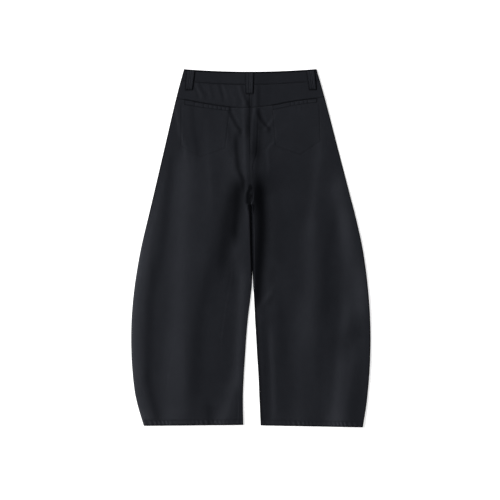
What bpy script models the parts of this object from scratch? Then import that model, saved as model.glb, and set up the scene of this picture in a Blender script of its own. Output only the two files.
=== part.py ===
"""Barrel leg trousers, laid flat with their back upwards. Metres, +Z up.

The waist points to +Y and the hems point to -Y, with the wearer's left leg at -X. The front
panels lie on the surface and the back panels lie on them. Heights are measured from the lowest
point of the hems, along +Y. The origin is at the middle of the garment, on the surface.
"""

import math

import bmesh
import bpy
import numpy as np

# Cloth walls and the gap left at each seam.
CLOTH = 0.0012
BAND_CLOTH = 0.0016
LOOP_CLOTH = 0.0015
POCKET_CLOTH = 0.001
SEAM_GAP = 0.0003

# The length over all, and how far the whole is moved down to bring the origin to its middle.
LENGTH = 1.0026
MIDDLE = LENGTH / 2

# The outline as it lies: both side seams, and the parting that is the centre seam above the
# crotch and the space between the legs below it.
OUTLINE = (
    # height, left side, parting, parting width, right side
    (0.000, -0.2988, 0.0034, 0.0476, 0.3139),
    (0.020, -0.3049, 0.0026, 0.0474, 0.3169),
    (0.060, -0.3167, 0.0014, 0.0463, 0.3234),
    (0.100, -0.3254, 0.0006, 0.0444, 0.3278),
    (0.150, -0.3311, 0.0007, 0.0398, 0.3321),
    (0.200, -0.3345, 0.0007, 0.0333, 0.3345),
    (0.250, -0.3354, 0.0009, 0.0272, 0.3354),
    (0.300, -0.3343, 0.0016, 0.0199, 0.3343),
    (0.340, -0.3316, 0.0030, 0.0132, 0.3323),
    (0.370, -0.3286, 0.0041, 0.0080, 0.3299),
    (0.400, -0.3250, 0.0046, 0.0030, 0.3270),
    (0.440, -0.3189, 0.0040, 0.0010, 0.3223),
    (0.500, -0.3080, 0.0024, 0.0008, 0.3132),
    (0.600, -0.2846, 0.0003, 0.0008, 0.2909),
    (0.640, -0.2751, -0.0006, 0.0003, 0.2804),
    (0.780, -0.2424, -0.0025, 0.0003, 0.2440),
    (0.940, -0.2045, -0.0036, 0.0003, 0.2020),
    (1.003, -0.1872, -0.0036, 0.0003, 0.1836),
)
CROTCH = 0.623
CROTCH_BLEND = 0.022

# The cross lines. Each is level at the centre and rises to its height at the side seams.
CENTRE_X = -0.0036
HALF_WAIST = 0.1855
HALF_HIP = 0.205
WAIST_TOP_CENTRE = 0.9951
WAIST_TOP_RISE = 0.0073
WAIST_SEAM_CENTRE = 0.9593
WAIST_SEAM_RISE = 0.0100
FRONT_DROP = 0.016
YOKE_CENTRE = 0.8938
YOKE_RISE_LEFT = 0.0254
YOKE_RISE_RIGHT = 0.0305

# The hems: the height of each at its inseam and at its side seam.
HEM_LEFT_INSEAM = 0.0067
HEM_LEFT_SIDE = 0.0042
HEM_RIGHT_INSEAM = 0.0053
HEM_RIGHT_SIDE = 0.0

# The layers. The waist is lifted off the surface by the front loops and the button.
LIFT = 0.0023
LIFT_FROM = 0.760
LIFT_TO = 0.930
SEAM_HEIGHT = 0.0016
BAND_SEAM_HEIGHT = 0.0022
LEG_HEIGHT = 0.0042
SEAT_HEIGHT = 0.0051
SEAT_FROM = 0.600
SEAT_TO = 0.740
CROWN = 0.0005
BAND_PROUD = 0.0003
LAP_RISE = 0.0016
LAP_FADE = 0.045
SIDE_ROUND = 0.0030
INSEAM_ROUND = 0.0065
ROUND_STEPS = 4
ROUND_LIMIT = 1.08
LIP = 0.00015
FALL_START = 0.05

# The largest folds: a ridge has a positive rise and a hollow a negative one.
FOLD_FADE = 0.060
FOLDS = (
    # low x, low height, middle x, middle height, high x, high height, half width, rise
    (-0.300, 0.060, -0.312, 0.250, -0.298, 0.470, 0.016, 0.0008),
    (-0.252, 0.040, -0.296, 0.177, -0.240, 0.690, 0.022, -0.0014),
    (-0.235, 0.150, -0.214, 0.350, -0.191, 0.740, 0.024, 0.0014),
    (-0.186, 0.034, -0.171, 0.177, -0.132, 0.430, 0.022, -0.0014),
    (-0.120, 0.090, -0.100, 0.300, -0.061, 0.600, 0.024, -0.0012),
    (-0.032, 0.050, -0.027, 0.300, -0.025, 0.540, 0.013, 0.0008),
    (-0.041, 0.550, -0.042, 0.680, -0.036, 0.800, 0.012, -0.0011),
    (-0.016, 0.640, -0.019, 0.760, -0.025, 0.890, 0.008, 0.0007),
    (0.028, 0.390, 0.034, 0.600, 0.018, 0.690, 0.014, -0.0014),
    (0.004, 0.710, 0.010, 0.780, 0.014, 0.870, 0.009, -0.0008),
    (0.055, 0.100, 0.057, 0.160, 0.060, 0.220, 0.012, 0.0005),
    (0.093, 0.130, 0.086, 0.240, 0.080, 0.360, 0.022, -0.0011),
    (0.158, 0.100, 0.156, 0.350, 0.193, 0.630, 0.030, 0.0014),
    (0.165, 0.040, 0.195, 0.150, 0.221, 0.600, 0.022, -0.0014),
    (0.230, 0.070, 0.266, 0.283, 0.270, 0.530, 0.022, 0.0012),
    (0.303, 0.080, 0.288, 0.180, 0.288, 0.250, 0.016, -0.0008),
    (0.305, 0.220, 0.309, 0.320, 0.303, 0.470, 0.016, 0.0007),
)

# Belt loops: a strip of cloth over the waistband, wider at its top.
LOOP_TOP_WIDTH = 0.022
LOOP_FOOT_WIDTH = 0.019
LOOP_ARCH = 0.0018
LOOPS = (
    # name, top x, foot x, foot height
    ("belt_loop_back_centre", -0.0036, -0.0036, 0.9358),
    ("belt_loop_back_left", -0.1675, -0.1735, 0.9464),
    ("belt_loop_back_right", 0.1668, 0.1735, 0.9470),
)
FRONT_LOOPS = (
    ("belt_loop_front_left", -0.108, -0.110, 0.930),
    ("belt_loop_front_right", 0.104, 0.106, 0.930),
)

# Pocket welts along the yoke seam, and the bags inside behind them.
WELT_DEPTH = 0.0115
WELTS = (
    # name, left x, right x
    ("pocket_welt_left", -0.1868, -0.0582),
    ("pocket_welt_right", 0.0605, 0.1851),
)
BAG_TOP_DROP = 0.003
BAGS = (
    # name, left x, tip x, right x, left corner, tip and right corner heights
    ("pocket_bag_left", -0.1935, -0.1403, -0.0670, 0.7862, 0.7571, 0.7818),
    ("pocket_bag_right", 0.0655, 0.1386, 0.1925, 0.7879, 0.7638, 0.8016),
)

# The fly: a zip behind the centre front, a lapped waistband and its button.
LAP = 0.018
LAP_RAMP = 0.020
ZIP_HALF_WIDTH = 0.014
ZIP_FOOT = 0.790
ZIP_HEAD = 0.940
SLIDER_WIDTH = 0.009
SLIDER_LENGTH = 0.013
SLIDER_THICKNESS = 0.0014
SLIDER_DROP = 0.012
BUTTON_RADIUS = 0.0085
BUTTON_THICKNESS = 0.0019
BUTTON_RIM = 0.0004
BUTTON_SIDES = 28
BUTTON_X = 0.002
BUTTON_HEIGHT = 0.9645

# Cells across and along each piece of cloth: enough for its folds and edges.
BACK_CELLS = (18, 34)
YOKE_CELLS = (20, 4)
FRONT_CELLS = (5, 28)
BACK_BAND_CELLS = (28, 3)
LEFT_BAND_CELLS = (8, 2)
RIGHT_BAND_CELLS = (20, 2)
BACK_LOOP_CELLS = (2, 10)
FRONT_LOOP_CELLS = (1, 1)
WELT_CELLS = (14, 1)
BAG_CELLS = (12, 6)
ZIP_CELLS = (2, 8)
MERGE_DISTANCE = 0.00001

# Colours and finish, from the photograph.
BLACK_CLOTH = (0.0125, 0.0132, 0.0158)
POCKET_BLACK = (0.010, 0.010, 0.012)
HORN_BLACK = (0.008, 0.008, 0.009)
TAPE_BLACK = (0.009, 0.009, 0.010)
DARK_METAL = (0.10, 0.10, 0.105)
CLOTH_ROUGHNESS = 0.72
POCKET_ROUGHNESS = 0.8
HORN_ROUGHNESS = 0.3
TAPE_ROUGHNESS = 0.7
METAL_ROUGHNESS = 0.35


def smooth_curve(places, values):
    """A function through the values that never swings past them."""
    places = np.array(places, float)
    values = np.array(values, float)
    steps = np.diff(places)
    rates = np.diff(values) / steps
    slopes = np.concatenate([rates[:1], np.zeros(len(rates) - 1), rates[-1:]])
    for k in range(1, len(rates)):
        if rates[k - 1] * rates[k] > 0:
            slopes[k] = 2 * rates[k - 1] * rates[k] / (rates[k - 1] + rates[k])

    def at(place):
        place = min(max(place, places[0]), places[-1])
        k = min(int(np.searchsorted(places, place, side="right")) - 1, len(steps) - 1)
        u = (place - places[k]) / steps[k]
        start = (1 + 2 * u) * (1 - u) ** 2 * values[k] + u * (1 - u) ** 2 * steps[k] * slopes[k]
        end = u * u * (3 - 2 * u) * values[k + 1] - u * u * (1 - u) * steps[k] * slopes[k + 1]
        return float(start + end)

    return at


def blend(start, end, place):
    """0 before start, 1 after end, and a soft step between."""
    u = min(max((place - start) / (end - start), 0.0), 1.0)
    return u * u * (3 - 2 * u)


def column(rows, index):
    return [row[index] for row in rows]


heights = column(OUTLINE, 0)
left_side = smooth_curve(heights, column(OUTLINE, 1))
parting = smooth_curve(heights, column(OUTLINE, 2))
parting_width = smooth_curve(heights, column(OUTLINE, 3))
right_side = smooth_curve(heights, column(OUTLINE, 4))


def left_inseam(height):
    return parting(height) - parting_width(height) / 2


def right_inseam(height):
    return parting(height) + parting_width(height) / 2


def waist_top(x):
    return WAIST_TOP_CENTRE + WAIST_TOP_RISE * ((x - CENTRE_X) / HALF_WAIST) ** 2


def waist_seam(x):
    return WAIST_SEAM_CENTRE + WAIST_SEAM_RISE * ((x - CENTRE_X) / HALF_WAIST) ** 2


def front_drop(x):
    """How much lower the front waist lies than the back waist."""
    return FRONT_DROP * (1 - min(abs(x - CENTRE_X) / HALF_WAIST, 1.0) ** 2)


def front_waist_top(x):
    return waist_top(x) - front_drop(x)


def front_waist_seam(x):
    return waist_seam(x) - front_drop(x)


def yoke_seam(x):
    rise = YOKE_RISE_LEFT if x < CENTRE_X else YOKE_RISE_RIGHT
    return YOKE_CENTRE + rise * abs(x - CENTRE_X) / HALF_HIP


def hem(x):
    """The hem line of the leg that x is on."""
    if x < parting(0):
        share = (x - left_side(0)) / (left_inseam(0) - left_side(0))
        return HEM_LEFT_SIDE + (HEM_LEFT_INSEAM - HEM_LEFT_SIDE) * share
    share = (x - right_inseam(0)) / (right_side(0) - right_inseam(0))
    return HEM_RIGHT_INSEAM + (HEM_RIGHT_SIDE - HEM_RIGHT_INSEAM) * share


def fold_paths():
    """Each fold as its path across the cloth, its ends, its half width and its rise."""
    paths = []
    for low_x, low, middle_x, middle, high_x, high, half_width, rise in FOLDS:
        path = smooth_curve((low, middle, high), (low_x, middle_x, high_x))
        paths.append((path, low, high, half_width, rise))
    return paths


PATHS = fold_paths()


def folds(x, height):
    total = 0.0
    for path, low, high, half_width, rise in PATHS:
        along = blend(low - FOLD_FADE, low, height) * (1 - blend(high, high + FOLD_FADE, height))
        if along > 0:
            total += rise * along * math.exp(-(((x - path(height)) / half_width) ** 2))
    return total


def lift(height):
    """How far the front panels lie off the surface."""
    return LIFT * blend(LIFT_FROM, LIFT_TO, height)


def seam_height(height):
    """The height of the side seams over the surface, half way up the layers."""
    grown = blend(LIFT_FROM, LIFT_TO, height)
    return lift(height) + SEAM_HEIGHT + (BAND_SEAM_HEIGHT - SEAM_HEIGHT) * grown


def crown(x, height):
    """The cloth of each leg stands a little higher between its seams."""
    if x < parting(height):
        low, high = left_side(height), left_inseam(height)
    else:
        low, high = right_inseam(height), right_side(height)
    across = min(max(2 * (x - low) / (high - low) - 1, -1.0), 1.0)
    return CROWN * (1 - across ** 4) * (1 - blend(SEAT_FROM, SEAT_TO, height))


def back_height(x, height):
    """The outer face of the back panels and the yokes."""
    flat = LEG_HEIGHT + (SEAT_HEIGHT - LEG_HEIGHT) * blend(SEAT_FROM, SEAT_TO, height)
    lap = LAP_RISE * blend(LIFT_FROM, LIFT_TO, height)
    lap *= math.exp(-(((x - CENTRE_X) / LAP_FADE) ** 2))
    return lift(height) + flat + crown(x, height) + lap + folds(x, height)


def back_band_height(x, height):
    return back_height(x, height) + BAND_PROUD


def front_height(x, height):
    """The outer face of the front panels, which looks down."""
    return lift(height)


def under_lap_height(x, height):
    """The outer face of the right front waistband, which rises to lie inside the left one."""
    above = 1 - blend(LAP, LAP + LAP_RAMP, x - CENTRE_X)
    return lift(height) + (BAND_CLOTH + SEAM_GAP) * above


def upper_seam(height):
    """Where the back side of a side seam ends."""
    return seam_height(height) + SEAM_GAP / 2


def lower_seam(height):
    """Where the front side of a side seam ends."""
    return seam_height(height) - SEAM_GAP / 2


def inseam_height(height):
    """The back panels come down to the inseams, just over the flat edge of the fronts."""
    return CLOTH + SEAM_GAP


def no_fall(height):
    return 0.0


def full_fall(height):
    return 1.0


def leg_fall(height):
    """The inner edges turn down to the inseam below the crotch, and meet flat above it."""
    return 1 - blend(CROTCH - CROTCH_BLEND, CROTCH + CROTCH_BLEND, height)


def cloth_wall(name, shape, material, collection):
    """A grid of cloth set on its surface, and thickened to its inner side."""
    across, along = shape["across"], shape["along"]
    bm = bmesh.new()
    rounds = [ROUND_STEPS if fall is not no_fall else 0 for fall in shape["falls"]]
    columns = rounds[0] + across + rounds[1]
    bmesh.ops.create_grid(bm, x_segments=columns, y_segments=along, size=0.5)
    for vert in bm.verts:
        i = round((vert.co.x + 0.5) * columns)
        share = round((vert.co.y + 0.5) * along) / along
        vert.co = cloth_point(shape, i, columns, rounds, share)
    if shape["facing"] < 0:
        bmesh.ops.reverse_faces(bm, faces=bm.faces)
    for face in bm.faces:
        face.smooth = True
    mesh = bpy.data.meshes.new(name)
    bm.to_mesh(mesh)
    bm.free()
    mesh.materials.append(material)
    wall = bpy.data.objects.new(name, mesh)
    collection.objects.link(wall)
    solidify = wall.modifiers.new("wall", "SOLIDIFY")
    solidify.thickness = shape["wall"]
    solidify.offset = -1
    solidify.use_even_offset = True
    return wall


def cloth_point(shape, i, columns, rounds, share):
    """The place of one grid point: its column counts from the left edge, its share from the foot."""
    across = min(max((i - rounds[0]) / (columns - sum(rounds)), 0.0), 1.0)
    height = shape["foot_level"]
    for _ in range(2):
        low, high = shape["edges"][0](height), shape["edges"][1](height)
        x = low + (high - low) * across
        height = shape["foot"](x) + (shape["head"](x) - shape["foot"](x)) * share
    low, high = shape["edges"][0](height), shape["edges"][1](height)
    if rounds[0] and i <= rounds[0]:
        x, z = rounded_edge(shape, 0, low, height, i)
    elif rounds[1] and i >= columns - rounds[1]:
        x, z = rounded_edge(shape, 1, high, height, columns - i)
    else:
        low += edge_run(shape, 0, low, height) if rounds[0] else 0.0
        high -= edge_run(shape, 1, high, height) if rounds[1] else 0.0
        x = low + (high - low) * across
        z = shape["surface"](x, height)
    return x, height - MIDDLE, z


def lip_height(shape, hand, height):
    """Where the rounded edge begins, just past the short upright lip at the seam."""
    return shape["seams"][hand](height) + shape["facing"] * LIP


def edge_run(shape, hand, edge, height):
    """How far in from the seam the round ends: as wide as asked, if the wall can bend so."""
    inward = 1 if hand == 0 else -1
    wanted = shape["rounds"][hand]
    rise = shape["surface"](edge + inward * wanted, height) - lip_height(shape, hand, height)
    return min(wanted, rise * rise / (ROUND_LIMIT * shape["wall"]))


def rounded_edge(shape, hand, edge, height, step):
    """A point from the seam, at step 0, up its lip and round to the flat of the panel."""
    inward = 1 if hand == 0 else -1
    fall = shape["falls"][hand](height)
    run = edge_run(shape, hand, edge, height)
    turn = math.pi / 2 * max(step - 1, 0) / (ROUND_STEPS - 1)
    level_in = step / ROUND_STEPS
    turned = min(fall / FALL_START, 1.0)
    x = edge + inward * run * (level_in + (1 - math.cos(turn) - level_in) * turned)
    lip = lip_height(shape, hand, height)
    rounded = lip + (shape["surface"](edge + inward * run, height) - lip) * math.sin(turn)
    if step == 0:
        rounded = shape["seams"][hand](height)
    flat = shape["surface"](x, height)
    return x, flat + (rounded - flat) * fall


def cloth_shape(edges, foot, head, surface, across, along, **more):
    """A panel's description: its edges, its foot and head lines, and the surface that it is on."""
    shape = {
        "edges": edges,
        "foot": foot,
        "head": head,
        "surface": surface,
        "across": across,
        "along": along,
        "foot_level": 0.0,
        "facing": 1,
        "falls": (no_fall, no_fall),
        "seams": (upper_seam, upper_seam),
        "rounds": (SIDE_ROUND, SIDE_ROUND),
        "wall": CLOTH,
    }
    shape.update(more)
    return shape


def principled(name, colour, roughness, metallic=0.0):
    material = bpy.data.materials.new(name)
    material.use_nodes = True
    shader = material.node_tree.nodes["Principled BSDF"]
    shader.inputs["Base Color"].default_value = (*colour, 1.0)
    shader.inputs["Roughness"].default_value = roughness
    shader.inputs["Metallic"].default_value = metallic
    material.diffuse_color = (*colour, 1.0)
    return material


def cleared_collection(name):
    """Empties the scene, and returns the garment's own collection."""
    for old in list(bpy.data.objects):
        bpy.data.objects.remove(old, do_unlink=True)
    collection = bpy.data.collections.new(name)
    bpy.context.scene.collection.children.link(collection)
    return collection


def lowered(line, drop):
    """A cross line moved down, to leave a seam gap or a depth."""
    return lambda x: line(x) - drop


def leg_edges(side):
    """The left and right edges of a leg."""
    return (left_side, left_inseam) if side == "left" else (right_inseam, right_side)


def by_hand(side, at_side_seam, at_parting):
    """A pair in the order left, right."""
    return (at_side_seam, at_parting) if side == "left" else (at_parting, at_side_seam)


def make_backs(cloth, collection):
    """The back panels, from the yoke seam to the hem."""
    for side in ("left", "right"):
        head = lowered(yoke_seam, SEAM_GAP / 2)
        shape = cloth_shape(leg_edges(side), hem, head, back_height, *BACK_CELLS)
        shape["falls"] = by_hand(side, full_fall, leg_fall)
        shape["rounds"] = by_hand(side, SIDE_ROUND, INSEAM_ROUND)
        shape["seams"] = by_hand(side, upper_seam, inseam_height)
        cloth_wall(f"back_{side}", shape, cloth, collection)


def make_yokes(cloth, collection):
    """The back yokes, between the yoke seam and the waist seam."""
    for side in ("left", "right"):
        foot, head = lowered(yoke_seam, -SEAM_GAP / 2), lowered(waist_seam, SEAM_GAP / 2)
        shape = cloth_shape(leg_edges(side), foot, head, back_height, *YOKE_CELLS)
        shape["falls"] = by_hand(side, full_fall, no_fall)
        shape["foot_level"] = YOKE_CENTRE
        cloth_wall(f"yoke_{side}", shape, cloth, collection)


def make_fronts(cloth, collection):
    """The front panels, which lie on the surface, from the waist seam to the hem."""
    for side in ("left", "right"):
        head = lowered(front_waist_seam, SEAM_GAP / 2)
        shape = cloth_shape(leg_edges(side), hem, head, front_height, *FRONT_CELLS)
        shape["falls"] = by_hand(side, full_fall, no_fall)
        shape.update(facing=-1, seams=(lower_seam, lower_seam))
        cloth_wall(f"front_{side}", shape, cloth, collection)


def make_waistbands(cloth, collection):
    """The waistband: one piece at the back, and two lapped ones at the front."""
    foot = lowered(waist_seam, -SEAM_GAP / 2)
    front_foot = lowered(front_waist_seam, -SEAM_GAP / 2)
    both = (full_fall, full_fall)
    band = {"foot_level": WAIST_SEAM_CENTRE, "wall": BAND_CLOTH}
    sides = (left_side, right_side)
    shape = cloth_shape(sides, foot, waist_top, back_band_height, *BACK_BAND_CELLS, **band)
    shape["falls"] = both
    cloth_wall("waistband_back", shape, cloth, collection)
    lap_end = CENTRE_X + LAP
    under_end = CENTRE_X - LAP
    left = (left_side, lambda height: lap_end)
    head = front_waist_top
    shape = cloth_shape(left, front_foot, head, front_height, *LEFT_BAND_CELLS, **band)
    shape.update(facing=-1, falls=(full_fall, no_fall), seams=(lower_seam, lower_seam))
    cloth_wall("waistband_front_left", shape, cloth, collection)
    right = (lambda height: under_end, right_side)
    shape = cloth_shape(right, front_foot, head, under_lap_height, *RIGHT_BAND_CELLS, **band)
    shape.update(facing=-1, falls=(no_fall, full_fall), seams=(lower_seam, lower_seam))
    cloth_wall("waistband_front_right", shape, cloth, collection)


def level_line(level):
    """A line across the garment at one height."""
    return lambda x: level


def on_surface(x, height):
    """The height of what lies on the surface itself."""
    return 0.0


def loop_edges(top_x, foot_x, foot_level, top_level):
    """The two edges of a loop, which may lean."""

    def edge(hand):
        def at(height):
            share = min(max((height - foot_level) / (top_level - foot_level), 0.0), 1.0)
            width = LOOP_FOOT_WIDTH + (LOOP_TOP_WIDTH - LOOP_FOOT_WIDTH) * share
            return foot_x + (top_x - foot_x) * share + hand * width / 2

        return at

    return edge(-1), edge(1)


def make_back_loops(cloth, collection):
    """The back loops: sewn down at both ends and standing off the band between."""
    for name, top_x, foot_x, foot_level in LOOPS:
        top_level = waist_top(top_x)

        def surface(x, height, foot_level=foot_level, top_level=top_level):
            share = min(max((height - foot_level) / (top_level - foot_level), 0.0), 1.0)
            arch = LOOP_ARCH * math.sqrt(math.sin(math.pi * share))
            return back_band_height(x, height) + SEAM_GAP + LOOP_CLOTH + arch

        edges = loop_edges(top_x, foot_x, foot_level, top_level)
        foot = level_line(foot_level)
        shape = cloth_shape(edges, foot, waist_top, surface, *BACK_LOOP_CELLS)
        shape.update(foot_level=foot_level, wall=LOOP_CLOTH)
        cloth_wall(name, shape, cloth, collection)


def make_front_loops(cloth, collection):
    """The front loops, pressed flat between the waistband and the surface."""
    for name, top_x, foot_x, foot_level in FRONT_LOOPS:
        edges = loop_edges(top_x, foot_x, foot_level, front_waist_top(top_x))
        foot = level_line(foot_level)
        shape = cloth_shape(edges, foot, front_waist_top, on_surface, *FRONT_LOOP_CELLS)
        shape.update(foot_level=foot_level, wall=LOOP_CLOTH, facing=-1)
        cloth_wall(name, shape, cloth, collection)


def make_welts(cloth, collection):
    """The welts, which lie on the back panels along the yoke seam."""
    head = lowered(yoke_seam, SEAM_GAP)
    foot = lowered(yoke_seam, SEAM_GAP + WELT_DEPTH)
    for name, left_x, right_x in WELTS:
        edges = (lambda height, x=left_x: x, lambda height, x=right_x: x)

        def surface(x, height):
            return back_height(x, height) + SEAM_GAP + CLOTH

        shape = cloth_shape(edges, foot, head, surface, *WELT_CELLS, foot_level=YOKE_CENTRE)
        cloth_wall(name, shape, cloth, collection)


def make_bags(cloth, collection):
    """The pocket bags, which hang inside behind the welts and end in a shallow point."""
    for name, left_x, tip_x, right_x, left_corner, tip, right_corner in BAGS:
        edges = (lambda height, x=left_x: x, lambda height, x=right_x: x)
        corners = ((left_x, tip_x, right_x), (left_corner, tip, right_corner))

        def surface(x, height):
            return back_height(x, height) - CLOTH - SEAM_GAP

        def foot(x, corners=corners):
            return float(np.interp(x, *corners))

        head = lowered(yoke_seam, BAG_TOP_DROP)
        shape = cloth_shape(edges, foot, head, surface, *BAG_CELLS, wall=POCKET_CLOTH)
        shape["foot_level"] = tip
        cloth_wall(name, shape, cloth, collection)


def make_zip(tape, metal, collection):
    """The fly zip, closed: its tape behind the centre front, and its slider at the top."""
    edges = (lambda height: CENTRE_X - ZIP_HALF_WIDTH, lambda height: CENTRE_X + ZIP_HALF_WIDTH)

    def surface(x, height):
        return lift(height) + CLOTH + 2 * SEAM_GAP

    foot, head = level_line(ZIP_FOOT), level_line(ZIP_HEAD)
    shape = cloth_shape(edges, foot, head, surface, *ZIP_CELLS)
    shape.update(foot_level=ZIP_FOOT, facing=-1, wall=POCKET_CLOTH)
    cloth_wall("fly_zip_tape", shape, tape, collection)
    bm = bmesh.new()
    bmesh.ops.create_cube(bm, size=1.0)
    bmesh.ops.scale(bm, vec=(SLIDER_WIDTH, SLIDER_LENGTH, SLIDER_THICKNESS), verts=bm.verts)
    mesh = bpy.data.meshes.new("fly_zip_slider")
    bm.to_mesh(mesh)
    bm.free()
    mesh.materials.append(metal)
    slider = bpy.data.objects.new("fly_zip_slider", mesh)
    collection.objects.link(slider)
    low = LIFT + CLOTH + 3 * SEAM_GAP + POCKET_CLOTH
    place = ZIP_HEAD - SLIDER_DROP - MIDDLE
    slider.location = (CENTRE_X, place, low + SLIDER_THICKNESS / 2)


def make_button(horn, collection):
    """The button under the lap, a turned disc with a rounded rim."""
    profile = (
        (0.0, BUTTON_THICKNESS),
        (BUTTON_RADIUS - BUTTON_RIM, BUTTON_THICKNESS),
        (BUTTON_RADIUS, BUTTON_THICKNESS - BUTTON_RIM),
        (BUTTON_RADIUS, BUTTON_RIM),
        (BUTTON_RADIUS - BUTTON_RIM, 0.0),
        (0.0, 0.0),
    )
    bm = bmesh.new()
    points = [bm.verts.new((radius, 0.0, z)) for radius, z in profile]
    for start, end in zip(points, points[1:]):
        bm.edges.new((start, end))
    mesh = bpy.data.meshes.new("button")
    bm.to_mesh(mesh)
    bm.free()
    mesh.materials.append(horn)
    button = bpy.data.objects.new("button", mesh)
    collection.objects.link(button)
    button.location = (BUTTON_X, BUTTON_HEIGHT - MIDDLE, 0.0)
    screw = button.modifiers.new("turned", "SCREW")
    screw.steps = BUTTON_SIDES
    screw.render_steps = BUTTON_SIDES
    screw.use_merge_vertices = True
    screw.merge_threshold = MERGE_DISTANCE


def main():
    collection = cleared_collection("barrel_leg_trousers")
    cloth = principled("black_cloth", BLACK_CLOTH, CLOTH_ROUGHNESS)
    pocket = principled("pocket_cloth", POCKET_BLACK, POCKET_ROUGHNESS)
    horn = principled("horn_black", HORN_BLACK, HORN_ROUGHNESS)
    tape = principled("zip_tape", TAPE_BLACK, TAPE_ROUGHNESS)
    metal = principled("dark_metal", DARK_METAL, METAL_ROUGHNESS, metallic=1.0)
    make_fronts(cloth, collection)
    make_backs(cloth, collection)
    make_yokes(cloth, collection)
    make_waistbands(cloth, collection)
    make_back_loops(cloth, collection)
    make_front_loops(cloth, collection)
    make_welts(cloth, collection)
    make_bags(pocket, collection)
    make_zip(tape, metal, collection)
    make_button(horn, collection)


main()
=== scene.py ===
import math

import bmesh
import bpy
import numpy as np
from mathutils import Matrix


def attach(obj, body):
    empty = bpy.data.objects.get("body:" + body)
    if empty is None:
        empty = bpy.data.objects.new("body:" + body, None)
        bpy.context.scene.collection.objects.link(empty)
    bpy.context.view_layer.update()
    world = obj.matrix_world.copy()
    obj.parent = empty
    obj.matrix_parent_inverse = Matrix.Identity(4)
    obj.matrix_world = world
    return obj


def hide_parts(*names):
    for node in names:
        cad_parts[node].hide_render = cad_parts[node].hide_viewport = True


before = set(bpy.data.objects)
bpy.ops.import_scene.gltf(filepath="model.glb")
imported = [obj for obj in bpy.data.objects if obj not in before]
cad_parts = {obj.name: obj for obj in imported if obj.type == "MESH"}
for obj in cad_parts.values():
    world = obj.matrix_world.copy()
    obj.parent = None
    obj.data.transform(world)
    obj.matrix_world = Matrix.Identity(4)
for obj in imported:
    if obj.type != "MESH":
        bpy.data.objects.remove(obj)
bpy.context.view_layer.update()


# Front panels
# The two fronts are cut from the black trouser cloth and lie face down, flat on the surface.
# Each is sewn to its back along the side seam and the inseam. The waist end is lifted a little
# by the belt loops and the button under it.

CLOTH_THICK = 0.0009
SEAM_PARTED = 0.0001
# The frame's origin lies this far up from the lowest point of the hems.
MIDDLE = 0.5013

# The outline as it lies. Heights run from the lowest point of the hems towards the waist.
OUTLINE = (
    # height, left side, parting, parting width, right side
    (0.000, -0.2988, 0.0034, 0.0476, 0.3139),
    (0.020, -0.3049, 0.0026, 0.0474, 0.3169),
    (0.060, -0.3167, 0.0014, 0.0463, 0.3234),
    (0.100, -0.3254, 0.0006, 0.0444, 0.3278),
    (0.150, -0.3311, 0.0007, 0.0398, 0.3321),
    (0.200, -0.3345, 0.0007, 0.0333, 0.3345),
    (0.250, -0.3354, 0.0009, 0.0272, 0.3354),
    (0.300, -0.3343, 0.0016, 0.0199, 0.3343),
    (0.340, -0.3316, 0.0030, 0.0132, 0.3323),
    (0.370, -0.3286, 0.0041, 0.0080, 0.3299),
    (0.400, -0.3250, 0.0046, 0.0030, 0.3270),
    (0.440, -0.3189, 0.0040, 0.0004, 0.3223),
    (0.500, -0.3080, 0.0024, 0.0001, 0.3132),
    (0.600, -0.2846, 0.0003, 0.0001, 0.2909),
    (0.640, -0.2751, -0.0006, 0.0001, 0.2804),
    (0.780, -0.2424, -0.0025, 0.0001, 0.2440),
    (0.940, -0.2045, -0.0036, 0.0001, 0.2020),
    (1.003, -0.1872, -0.0036, 0.0001, 0.1836),
)


def through(places, values):
    """A smooth line through the values that never swings past them."""
    places, values = np.array(places, float), np.array(values, float)
    steps = np.diff(places)
    rates = np.diff(values) / steps
    both = rates[:-1] * rates[1:]
    total = np.where(both > 0, rates[:-1] + rates[1:], 1.0)
    inner = np.where(both > 0, 2 * both / total, 0.0)
    slopes = np.concatenate([rates[:1], inner, rates[-1:]])

    def at(place):
        place = np.clip(place, places[0], places[-1])
        k = np.clip(np.searchsorted(places, place, side="right") - 1, 0, len(steps) - 1)
        u = (place - places[k]) / steps[k]
        start = (1 + 2 * u) * values[k] + u * steps[k] * slopes[k]
        end = (3 - 2 * u) * values[k + 1] - (1 - u) * steps[k] * slopes[k + 1]
        return (1 - u) ** 2 * start + u * u * end

    return at


def soft_step(start, end, place):
    """0 before start, 1 after end, and a soft rise between."""
    u = np.clip((place - start) / (end - start), 0.0, 1.0)
    return u * u * (3 - 2 * u)


def between(place, rise, fall):
    """1 from a soft rise to a soft fall, each a (start, end), and 0 outside them."""
    return soft_step(*rise, place) * (1 - soft_step(*fall, place))


def glow(distance, half_width):
    return np.exp(-((distance / half_width) ** 2))


def steady(value):
    """The same value at every place."""
    return lambda place, *others: value + 0 * place


outline_heights, *outline_lines = np.array(OUTLINE).T
left_side, parting, parting_width, right_side = (
    through(outline_heights, line) for line in outline_lines)

CENTRE_X = -0.0036
HALF_WAIST = 0.1855
# Each waist line has its height at the centre, and how much higher it is at the sides.
WAIST_TOP, WAIST_TOP_RISE = 0.9951, 0.0073
WAIST_SEAM, WAIST_SEAM_RISE = 0.9593, 0.0100
FRONT_DROP = 0.016
HEM_LEFT = (0.0042, 0.0067)
HEM_RIGHT = (0.0053, 0.0)
LIFT = 0.0023
SEAM_LEVEL, SEAM_LIFT = 0.0016, 0.0006


def left_inseam(height):
    return parting(height) - parting_width(height) / 2


def right_inseam(height):
    return parting(height) + parting_width(height) / 2


def leg_edges(side):
    return (left_side, left_inseam) if side == "left" else (right_inseam, right_side)


def off_centre(x):
    """The distance from the centre, squared, with half the waist as 1."""
    return ((x - CENTRE_X) / HALF_WAIST) ** 2


def waist_top(x):
    return WAIST_TOP + WAIST_TOP_RISE * off_centre(x)


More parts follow.
